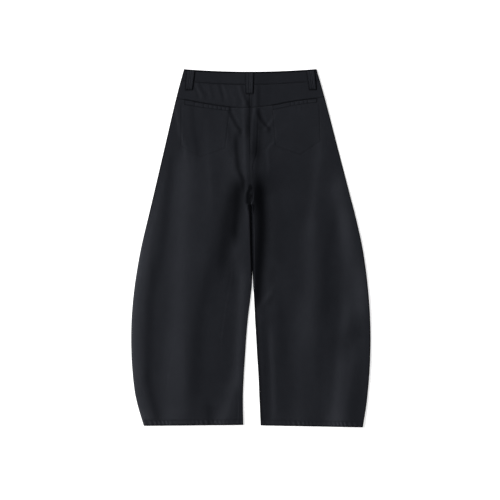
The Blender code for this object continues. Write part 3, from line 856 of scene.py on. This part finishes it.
def back_panel_face(side):
    hem = hem_line(side)

    def at(x, height):
        z = back_face(x, height) + hem_puckers(x, height - hem(x))
        z = z + HEM_RISE * np.exp(-np.maximum(height - hem(x), 0) / HEM_RISE_REACH)
        z = z + ditch(yoke_seam(x) - height, 0.0014, 0.0004)
        z = z + ditch(height - hem(x) - HEM_DEPTH, 0.0012, 0.0003)
        z = z + ditch(bag_lines(x, height), 0.0015, 0.00015)
        return z + ditch(height - hem(x), 0.0014, 0.0008)

    return at


INSEAM_LEVEL = 0.0014
BACK_ROWS = steps_between(((0.026, 20), (0.660, 80), (0.780, 56), (1.0, 90)))
BACK_COLUMNS = steps_between(((0.220, 66), (1.0, 112)))
for side in ("left", "right"):
    rounds = (SIDE_ROUND, left_inseam_round)
    falls = (steady(1.0), crotch_fall)
    seams = (over_seam, steady(INSEAM_LEVEL))
    columns = 1 - BACK_COLUMNS[::-1]
    if side == "right":
        rounds, falls, seams = (right_inseam_round, SIDE_ROUND), falls[::-1], seams[::-1]
        columns = BACK_COLUMNS
    face, hem = back_panel_face(side), hem_line(side)
    points = panel_points(
        leg_edges(side), hem, lambda x: yoke_seam(x) - SEAM_PARTED, face, columns, BACK_ROWS,
        rounds, falls=falls, seams=seams,
    )
    bag = np.array(BAG_LINES[0 if side == "left" else 1])
    along_bag = np.linspace(0, len(bag) - 1, 40 * (len(bag) - 1) + 1)
    bag_x, bag_height = (np.interp(along_bag, range(len(bag)), bag[:, k]) for k in (0, 1))
    rows = [hem_row(side, face, (0.005, 0.008), 120), row_on(face, list(zip(bag_x, bag_height)))]
    stitches = sewn(f"back_{side}_stitches", rows)

    # Painted shade at the hem's edge, along the inner edges of the open legs and on the hem's stitch
    # line, over that of the back.
    def panel_shade(x, height):
        open_leg = 1 - soft_step(0.36, 0.42, height)
        foot = 1 - soft_step(0.10, 0.34, height)
        return darkest(
            back_shade(x, height),
            0.8 * rim(height - hem(x)),
            0.90 * open_leg * glow(x - right_inseam(height), 0.0070),
            0.80 * foot * rim(np.abs(left_inseam(height) - x)),
            0.15 * glow(height - hem(x) - HEM_DEPTH, 0.0014),
        )

    cloth_piece(f"back_{side}_panel", points, cloth, f"back_{side}", (0.356, 0.925, 0.252),
                [f"front_{side}_panel"], shade=panel_shade, carries=[stitches])


# Back yokes
# A shaped yoke on each side, sewn between the waistband and the back panel. The belt loops'
# feet lie on it, so their places and their painted shade are here too.


def yoke_face(x, height):
    z = back_face(x, height)
    z = z + ditch(height - yoke_seam(x), 0.0013, 0.0004)
    return z + ditch(waist_seam(x) - height, 0.0015, 0.0006)


LOOPS = (
    # node, top x, foot x, foot height
    ("belt_loop_back_centre", -0.0036, -0.0036, 0.9335),
    ("belt_loop_back_left", -0.1675, -0.1735, 0.9444),
    ("belt_loop_back_right", 0.1668, 0.1735, 0.9450),
)
# Half a loop's width at its foot, and how much wider each half is at its top.
LOOP_HALF, LOOP_FLARE = 0.0095, 0.0015


def loop_line(top_x, foot_x, foot_level, top_level):
    """A loop's share of its height, its middle, which may lean, and half its width."""

    def at(height):
        share = np.clip((height - foot_level) / (top_level - foot_level), 0, 1)
        return share, foot_x + (top_x - foot_x) * share, LOOP_HALF + LOOP_FLARE * share

    return at


def loop_shade(x, height):
    """Painted shadow beside and below each belt loop."""
    dark = np.zeros_like(x)
    for _, top_x, foot_x, foot_level in LOOPS:
        _, middle, half = loop_line(top_x, foot_x, foot_level, float(waist_top(top_x)))(height)
        off = np.abs(x - middle) - half
        beside = np.hypot(np.maximum(off, 0), np.maximum(foot_level - height, 0))
        dark = darkest(dark, 0.92 * glow(beside, 0.0022))
    return dark


# Where the yoke is eased into the waistband and puckers a little under the seam; these puckers
# are painted shade only, with no relief of their own.
PAINTED_PUCKER_PLACES = (-0.143, -0.132, -0.120, -0.105, -0.093, -0.075, -0.063)


def waist_shade(x, height):
    """Painted shade round the yokes and the waistband, which are also painted a little darker all
    over than the legs.
    """
    from_seam = height - waist_seam(x)
    painted_puckers = [glow(x - place, 0.0030) * glow(from_seam + 0.0030, 0.0026) for place in PAINTED_PUCKER_PLACES]
    return darkest(
        back_shade(x, height),
        loop_shade(x, height),
        0.42 * glow(from_seam, 0.0013),
        0.40 * darkest(*painted_puckers),
        0.10 + 0.06 * soft_step(-0.002, 0.002, from_seam),
        0.95 * rim(waist_top(x) - height - 0.0016),
    )


for side in ("left", "right"):
    points = panel_points(
        leg_edges(side), lambda x: yoke_seam(x) + SEAM_PARTED,
        lambda x: waist_seam(x) - SEAM_PARTED, yoke_face, 150, 50, SIDE_ROUNDS[side],
        level=0.9, seams=(over_seam,) * 2,
    )
    cloth_piece(f"yoke_{side}_panel", points, cloth, f"yoke_{side}", (0.204, 0.068, 0.0113),
                [f"front_{side}_panel"], shade=waist_shade)


# Waistband
# A straight band of doubled cloth: one piece at the back, and two at the front that lap and
# button. Its top is a fold.

BAND_THICK = 0.0014
BAND_STANDS = 0.0003


def band_face(x, height):
    z = back_face(x, height) + BAND_STANDS
    z = z + ditch(waist_top(x) - height, 0.0014, 0.0003)
    return z + ditch(height - waist_seam(x), 0.0011, 0.0006)


points = panel_points(
    (left_side, right_side), lambda x: waist_seam(x) + SEAM_PARTED, waist_top, band_face,
    200, 26, (SIDE_ROUND, SIDE_ROUND), level=0.96, seams=(over_seam,) * 2,
)
cloth_piece("waistband_back_band", points, cloth, "waistband_back", (0.394, 0.038, 0.0142),
            ["waistband_front_left_band", "waistband_front_right_band"], BAND_THICK,
            shade=waist_shade)

LAP, LAP_RUN = 0.018, 0.020
UNDER_LAP = 0.0019


def under_lap_face(x, height):
    above = 1 - soft_step(LAP, LAP + LAP_RUN, x - CENTRE_X)
    return lift(height) + UNDER_LAP * above


for side, edges, face in (
    ("left", (left_side, steady(CENTRE_X + LAP)), front_face),
    ("right", (steady(CENTRE_X - LAP), right_side), under_lap_face),
):
    points = panel_points(
        edges, lambda x: waist_seam(x) - front_drop(x) + SEAM_PARTED,
        lambda x: waist_top(x) - front_drop(x), face, 80, 10, SIDE_ROUNDS[side],
        level=0.95, seams=(under_seam,) * 2,
    )
    name, node = f"waistband_front_{side}_band", f"waistband_front_{side}"
    on = [f"belt_loop_front_{side}_strip"]
    cloth_piece(name, points, cloth, node, (0.216, 0.038, 0.0075), on, BAND_THICK, looks_down=True)


# Belt loops
# Five strips, each folded in three and stitched down its length. Both ends are sewn to the
# trousers, and between them the loop stands off the waistband.

LOOP_THICK = 0.0015
LOOP_ROW, ROW_FOOT, ROW_HEAD = 0.0022, 0.001, 0.002
FRONT_LOOPS = (
    ("belt_loop_front_left", -0.108, -0.110, 0.930),
    ("belt_loop_front_right", 0.104, 0.106, 0.930),
)


def loop_edges(line):
    """The two edges of a loop."""
    return [lambda height, hand=hand: line(height)[1] + hand * line(height)[2] for hand in (-1, 1)]


def loop_rows(face, top_x, foot_x, foot_level, top_level):
    """The two rows of stitches down a loop."""
    heights = np.linspace(foot_level + ROW_FOOT, top_level - ROW_HEAD, 50)
    centres = np.interp(heights, (foot_level, top_level), (foot_x, top_x))
    return [row_on(face, list(zip(centres + hand * LOOP_ROW, heights))) for hand in (-1, 1)]


# Pitch, length and radius of the stitches.
LOOP_STITCH = (0.0024, 0.0019, 0.00020)
LOOP_ARCH, LOOP_STANDS = 0.0018, 0.0006
TACK_HALF, TACK_LEVELS = 0.0085, (0.0025, 0.0040)
for node, top_x, foot_x, foot_level in LOOPS:
    ends = (top_x, foot_x, foot_level, float(waist_top(top_x)))
    line = loop_line(*ends)
    edges = loop_edges(line)

    def loop_face(x, height):
        share, middle, _ = line(height)
        rows = ditch(np.abs(x - middle) - LOOP_ROW, 0.0008, 0.00030)
        arch = LOOP_ARCH * np.sqrt(np.sin(np.pi * share))
        return back_face(middle, height) + LOOP_STANDS + LOOP_THICK + arch + rows

    # Painted shade along the loop's stitch rows, at its edges and foot, and along its top.
    def strip_shade(x, height):
        _, middle, _ = line(height)
        return darkest(
            0.65 * glow(np.abs(x - middle) - LOOP_ROW, 0.0010),
            0.7 * glow(x - edges[0](height), 0.0012),
            0.9 * glow(x - edges[1](height), 0.0014),
            0.8 * glow(height - foot_level, 0.0012),
            0.95 * rim(waist_top(x) - height),
        )

    points = panel_points(
        edges, steady(foot_level), waist_top, loop_face, 30, 60, level=foot_level)
    rows = loop_rows(loop_face, *ends)
    for level in TACK_LEVELS:
        tack = np.linspace(foot_x - TACK_HALF, foot_x + TACK_HALF, 20)
        rows.append(row_on(loop_face, [(x, foot_level + level) for x in tack]))
    stitches = sewn(f"{node}_stitches", rows, *LOOP_STITCH)
    cloth_piece(f"{node}_strip", points, cloth, node, (0.022, 0.064, 0.00128),
                ["waistband_back_band"], LOOP_THICK, shade=strip_shade, carries=[stitches])

for node, top_x, foot_x, foot_level in FRONT_LOOPS:
    head = lambda x: waist_top(x) - front_drop(x)
    ends = (top_x, foot_x, foot_level, float(head(top_x)))
    points = panel_points(
        loop_edges(loop_line(*ends)), steady(foot_level), head, steady(0.0), 8, 20,
        level=foot_level,
    )
    stitches = sewn(f"{node}_stitches", loop_rows(steady(0.0), *ends), *LOOP_STITCH)
    cloth_piece(f"{node}_strip", points, cloth, node, (0.022, 0.061, 0.00120),
                ["floor"], LOOP_THICK, looks_down=True, carries=[stitches])


# Pocket welts
# A folded strip under the yoke seam on each back, whose ends are bar tacked. The pocket's mouth
# is the line between the strip and the yoke, darkened with painted shade.

WELT_PARTED, WELT_STANDS = 0.0006, 0.0008
# At the left and the right end of each welt.
WELT_DEPTHS = ((0.0148, 0.0112), (0.0132, 0.0114))
# Where the welts pucker between their stitches.
PUCKERS = (-0.1578, -0.1327, -0.1187, -0.1061, -0.0935, -0.0820, -0.0708,
           0.1103, 0.1224, 0.1352, 0.1481, 0.1585)
# A bar tack: its place and size, then its stitches' pitch, length and radius.
TACK_INSET, TACK_STEP, TACK_HEAD, TACK_FOOT = 0.0015, 0.0006, 0.002, 0.001
TACK_STITCH = (0.0016, 0.0015, 0.00020)


def welt_head(x):
    return yoke_seam(x) - WELT_PARTED


for side, (left_x, right_x), depths in zip(("left", "right"), WELT_SPANS, WELT_DEPTHS):

    def welt_foot(x):
        share = (x - left_x) / (right_x - left_x)
        return welt_head(x) - depths[0] - (depths[1] - depths[0]) * share

    def welt_face(x, height):
        from_foot = height - welt_foot(x)
        z = back_face(x, height) + WELT_STANDS
        z = z + ditch(welt_head(x) - height, 0.0016, 0.0009)
        z = z + ditch(from_foot, 0.0010, 0.0006)
        for place in PUCKERS:
            z = z + ditch(x - place - 0.15 * from_foot, 0.0026, 0.0002)
        return z

    # Painted shade in the pocket's mouth, along the welt's foot, at its ends and in its puckers.
    def welt_shade(x, height):
        return darkest(
            0.90 * glow(welt_head(x) - height, 0.0018),
            0.55 * glow(height - welt_foot(x), 0.0014),
            0.8 * glow(x - left_x, 0.0018),
            0.85 * glow(x - right_x, 0.0020),
            *(0.45 * glow(x - place, 0.0014) for place in PUCKERS),
        )

    points = panel_points(
        (steady(left_x), steady(right_x)), welt_foot, welt_head, welt_face, 120, 14, level=0.9)
    rows = []
    for end_x in (left_x + TACK_INSET, right_x - TACK_INSET):
        head_level = float(yoke_seam(end_x)) - TACK_HEAD
        heights = np.linspace(head_level, float(welt_foot(end_x)) + TACK_FOOT, 10)
        for step in (-TACK_STEP, TACK_STEP):
            rows.append(row_on(welt_face, [(end_x + step, h) for h in heights]))
    name, node = f"pocket_welt_{side}_strip", f"pocket_welt_{side}"
    stitches = sewn(f"{node}_stitches", rows, *TACK_STITCH)
    cloth_piece(name, points, cloth, node, (0.129, 0.015, 0.00165), [f"back_{side}_panel"],
                shade=welt_shade, carries=[stitches])


# Pocket bags
# Two bags of thin black pocketing, which hang inside behind the welts and end in a shallow
# point. Each is sewn to its back along the outline that shows there.

POCKET_THICK = 0.0008
BAG_LEVEL, BAG_DROP = 0.0013, 0.003
BAGS = (
    # side, left x, tip x, right x, left corner, tip and right corner heights
    ("left", -0.1935, -0.1403, -0.0670, 0.7862, 0.7571, 0.7818),
    ("right", 0.0655, 0.1386, 0.1925, 0.7879, 0.7638, 0.8016),
)


def woven_black(name, base, roughness, scale):
    """A plain fine black weave."""
    material, tree = new_material(name)
    warp, weft = (
        texture(tree, "Wave", Scale=scale, Distortion=0.3, bands_direction=direction)
        for direction in ("X", "Y")
    )
    return shaded(
        material, Roughness=roughness, Base_Color=base, Specular_IOR_Level=0.2,
        Normal=bump(tree, combined(tree, "MAXIMUM", warp, weft), 0.3, 0.0001),
    )


pocketing = woven_black("black_pocketing", (0.0045, 0.0046, 0.0055, 1.0), 0.8, 600.0)
for side, left_x, tip_x, right_x, left_corner, tip, right_corner in BAGS:
    corners = ((left_x, tip_x, right_x), (left_corner, tip, right_corner))
    points = panel_points(
        (steady(left_x), steady(right_x)), lambda x: np.interp(x, *corners),
        lambda x: yoke_seam(x) - BAG_DROP, lambda x, height: lift(height) + BAG_LEVEL + 0 * x,
        30, 30, level=tip,
    )
    cloth_piece(f"pocket_bag_{side}_cloth", points, pocketing, f"pocket_bag_{side}",
                (0.127, 0.155, 0.0172), [f"front_{side}_panel"], POCKET_THICK, slot="pocket_cloth")


# Fly zip
# A closed zip behind the centre front: two woven tapes, a chain of fine moulded teeth between
# them, and a slider at the top. The tapes are sewn inside the fronts.

ZIP_HALF_WIDTH = 0.014
ZIP_FOOT = 0.790
ZIP_HEAD = 0.940
# The teeth: their pitch, length and radius, then how far apart they are and how high.
TOOTH = (0.0016, 0.0009, 0.0008)
TOOTH_APART, TOOTH_LEVEL = 0.0010, 0.0010
CHAIN_FOOT, CHAIN_HEAD = 0.004, 0.006
SLIDER_LENGTH = 0.013
SLIDER_DROP = 0.012
TAPE_STANDS, SLIDER_STANDS = 0.0006, 0.0002


def zip_level(height):
    return lift(height) + CLOTH_THICK + TAPE_STANDS


def moulded_black(name, roughness):
    """Black resin with faint clouds in it."""
    material, tree = new_material(name)
    clouds = texture(tree, "Noise", Scale=260.0, Detail=3.0)
    black = clouded(tree, clouds, (0.006, 0.006, 0.007), (0.011, 0.010, 0.011))
    return shaded(material, Roughness=roughness, Base_Color=black)


tape = woven_black("black_zip_tape", (0.0050, 0.0050, 0.0056, 1.0), 0.7, 500.0)
points = panel_points(
    (steady(CENTRE_X - ZIP_HALF_WIDTH), steady(CENTRE_X + ZIP_HALF_WIDTH)),
    steady(ZIP_FOOT), steady(ZIP_HEAD), lambda x, height: zip_level(height) + 0 * x, 10, 60,
    level=ZIP_FOOT,
)
heights = np.linspace(ZIP_FOOT + CHAIN_FOOT, ZIP_HEAD - CHAIN_HEAD, 90)
rows = []
for hand in (-1, 1):
    row_x = CENTRE_X + hand * TOOTH_APART
    rows.append([(row_x, float(h), float(zip_level(h)) + TOOTH_LEVEL) for h in heights])
tooth_black = moulded_black("black_zip_teeth", 0.45)
teeth = sewn("fly_zip_teeth", rows, *TOOTH, tooth_black, "zip_tape")
cloth_piece("fly_zip_tapes", points, tape, "fly_zip_tape", (0.028, 0.150, 0.0042),
            ["front_left_panel"], POCKET_THICK, looks_down=True, slot="zip_tape", carries=[teeth])


def darkened_metal():
    """Black nickel plate, brushed a little."""
    material, tree = new_material("black_nickel")
    brushed = texture(tree, "Noise", Scale=1400.0, Detail=2.0)
    return shaded(
        material, Roughness=0.34, Base_Color=(0.060, 0.060, 0.064, 1.0), Metallic=1.0,
        Normal=bump(tree, brushed, 0.12, 0.00004),
    )


# The slider, seen from above: half widths from its foot to its head.
SLIDER_OUTLINE = ((0.000, 0.0026), (0.003, 0.0034), (0.007, 0.0040), (0.010, 0.0045), (0.013, 0.0036))
# Its two plates, from the lower face to the upper one, and the bridge that joins them.
SLIDER_PLATES = ((0.0, 0.0005), (0.0009, 0.0014))
BRIDGE_SIZE = (0.0012, 0.0045, 0.0013)
BRIDGE_ALONG, BRIDGE_LEVEL = 0.0095, 0.0009
slider_foot = ZIP_HEAD - SLIDER_DROP - SLIDER_LENGTH / 2
slider_level = float(zip_level(slider_foot))
shape = bmesh.new()
ring = [(w, y) for y, w in SLIDER_OUTLINE] + [(-w, y) for y, w in SLIDER_OUTLINE[::-1]]
for low, high in SLIDER_PLATES:
    base = slider_level + SLIDER_STANDS + low
    plate = [shape.verts.new((CENTRE_X + x, slider_foot + y - MIDDLE, base)) for x, y in ring]
    face = shape.faces.new(plate)
    raised = bmesh.ops.extrude_face_region(shape, geom=[face])["geom"]
    moved = [v for v in raised if isinstance(v, bmesh.types.BMVert)]
    bmesh.ops.translate(shape, verts=moved, vec=(0, 0, high - low))
bridge = bmesh.ops.create_cube(shape, size=1.0)["verts"]
bmesh.ops.scale(shape, vec=BRIDGE_SIZE, verts=bridge)
bridge_place = (CENTRE_X, slider_foot + BRIDGE_ALONG - MIDDLE, slider_level + BRIDGE_LEVEL)
bmesh.ops.translate(shape, vec=bridge_place, verts=bridge)
bmesh.ops.recalc_face_normals(shape, faces=shape.faces)
mesh = bpy.data.meshes.new("fly_zip_slider_body")
shape.to_mesh(mesh)
shape.free()
mesh.materials.append(darkened_metal())
slider = new_object("fly_zip_slider_body", mesh)
edge = slider.modifiers.new("edges", "BEVEL")
edge.width, edge.segments = 0.00012, 2
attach(slider, "root")
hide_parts("fly_zip_slider")


# Button
# One four-hole button under the lap, of black moulded horn substitute with a raised rim. It is
# sewn to the under layer of the waistband by a crossed thread.

BUTTON_RADIUS = 0.0085
BUTTON_X = 0.002
BUTTON_HEIGHT = 0.9645
BUTTON_THICK = 0.0019
HOLE_RADIUS = 0.0008
HOLE_APART = 0.0017
# The crossed thread: its level, then its pitch, length and radius.
THREAD_LEVEL = 0.0004
THREAD_STITCH = (0.0012, 0.0015, 0.0003)
BUTTON_EDGE = 0.0003
RIM_DEPTH, EDGE_DEPTH = 0.00035, 0.0006


def button_height(distance):
    """The lower face of the button: a raised rim round a shallow dish."""
    share = distance / BUTTON_RADIUS
    raised = soft_step(0.62, 0.78, share)
    return RIM_DEPTH * (1 - raised) + EDGE_DEPTH * soft_step(0.90, 1.0, share)


drawn = bpy.data.curves.new("button_outline", "CURVE")
drawn.dimensions = "2D"
drawn.fill_mode = "BOTH"
drawn.extrude = BUTTON_THICK / 2 - BUTTON_EDGE
drawn.bevel_depth = BUTTON_EDGE
drawn.bevel_resolution = 2
holes = [(HOLE_APART * i, HOLE_APART * j, HOLE_RADIUS, 14) for i in (-1, 1) for j in (-1, 1)]
for centre_x, centre_y, radius, sides in [(0, 0, BUTTON_RADIUS - BUTTON_EDGE, 56)] + holes:
    spline = drawn.splines.new("POLY")
    spline.points.add(sides - 1)
    for k, point in enumerate(spline.points):
        turn = 2 * math.pi * k / sides
        point.co = (centre_x + radius * math.cos(turn), centre_y + radius * math.sin(turn), 0, 1)
    spline.use_cyclic_u = True
outline_object = new_object("button_outline", drawn)
mesh = finished_mesh(outline_object)
bpy.data.objects.remove(outline_object)
for vertex in mesh.vertices:
    distance = math.hypot(vertex.co.x, vertex.co.y)
    dish = float(button_height(distance)) if vertex.co.z < 0 else 0.0
    vertex.co = (
        vertex.co.x + BUTTON_X, vertex.co.y + BUTTON_HEIGHT - MIDDLE,
        vertex.co.z + BUTTON_THICK / 2 + dish,
    )
mesh.materials.clear()
mesh.materials.append(moulded_black("black_button", 0.30))
button = new_object("front_button", mesh)
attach(button, "root")
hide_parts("button")
rows = []
for hand in (-1, 1):
    ends = ((-HOLE_APART, -hand * HOLE_APART), (HOLE_APART, hand * HOLE_APART))
    places = [[a + (b - a) * s for a, b in zip(*ends)] for s in np.linspace(0, 1, 9)]
    rows.append([(BUTTON_X + x, BUTTON_HEIGHT + y, THREAD_LEVEL) for x, y in places])
sewn("button_thread", rows, *THREAD_STITCH)


# Floor, light and camera
# A plain white floor under even, soft light that comes mostly from the left. The camera looks
# straight down, with the waist towards the top of the picture.

FLOOR_HALF = 8.0
FLOOR_LEVEL = -0.0006
corners = [(-1, -1), (1, -1), (1, 1), (-1, 1)]
corners = [(FLOOR_HALF * x, FLOOR_HALF * y, FLOOR_LEVEL) for x, y in corners]
floor_mesh = bpy.data.meshes.new("floor")
floor_mesh.from_pydata(corners, [], [(0, 1, 2, 3)])
floor = new_object("floor", floor_mesh)
floor_mesh.materials.append(shaded(
    new_material("white_floor")[0], Roughness=1.0, Base_Color=(0.93, 0.93, 0.93, 1.0),
    Specular_IOR_Level=0.0, Emission_Color=(1.0, 1.0, 1.0, 1.0), Emission_Strength=0.55,
))

LAMPS = (
    # name, azimuth from +X, elevation, strength, angular width
    ("key", 168.0, 52.0, 3.1, 12.0),
    ("fill", 15.0, 24.0, 0.25, 30.0),
    ("waist_side", 85.0, 26.0, 0.9, 30.0),
    ("hem_side", 280.0, 24.0, 0.7, 30.0),
)
for name, azimuth, elevation, strength, width in LAMPS:
    lamp = bpy.data.lights.new(name, "SUN")
    lamp.energy = strength
    lamp.angle = math.radians(width)
    holder = new_object(name, lamp)
    holder.rotation_euler = (0, math.radians(90 - elevation), math.radians(azimuth))

WORLD_STRENGTH = 0.06
world = bpy.data.worlds.new("studio")
world.use_nodes = True
background = world.node_tree.nodes["Background"]
feed_all(world.node_tree, background, {"Color": (1, 1, 1, 1), "Strength": WORLD_STRENGTH})
bpy.context.scene.world = world
bpy.context.scene.view_settings.view_transform = "Standard"

CAMERA_X, CAMERA_Y, CAMERA_DISTANCE = -0.0025, -0.0051, 10.0
FRAME_WIDTH = 1.4
camera_data = bpy.data.cameras.new("camera")
camera_data.sensor_width = 36.0
camera_data.lens = camera_data.sensor_width * CAMERA_DISTANCE / FRAME_WIDTH
camera = new_object("camera", camera_data)
camera.location = (CAMERA_X, CAMERA_Y, CAMERA_DISTANCE)
bpy.context.scene.camera = camera
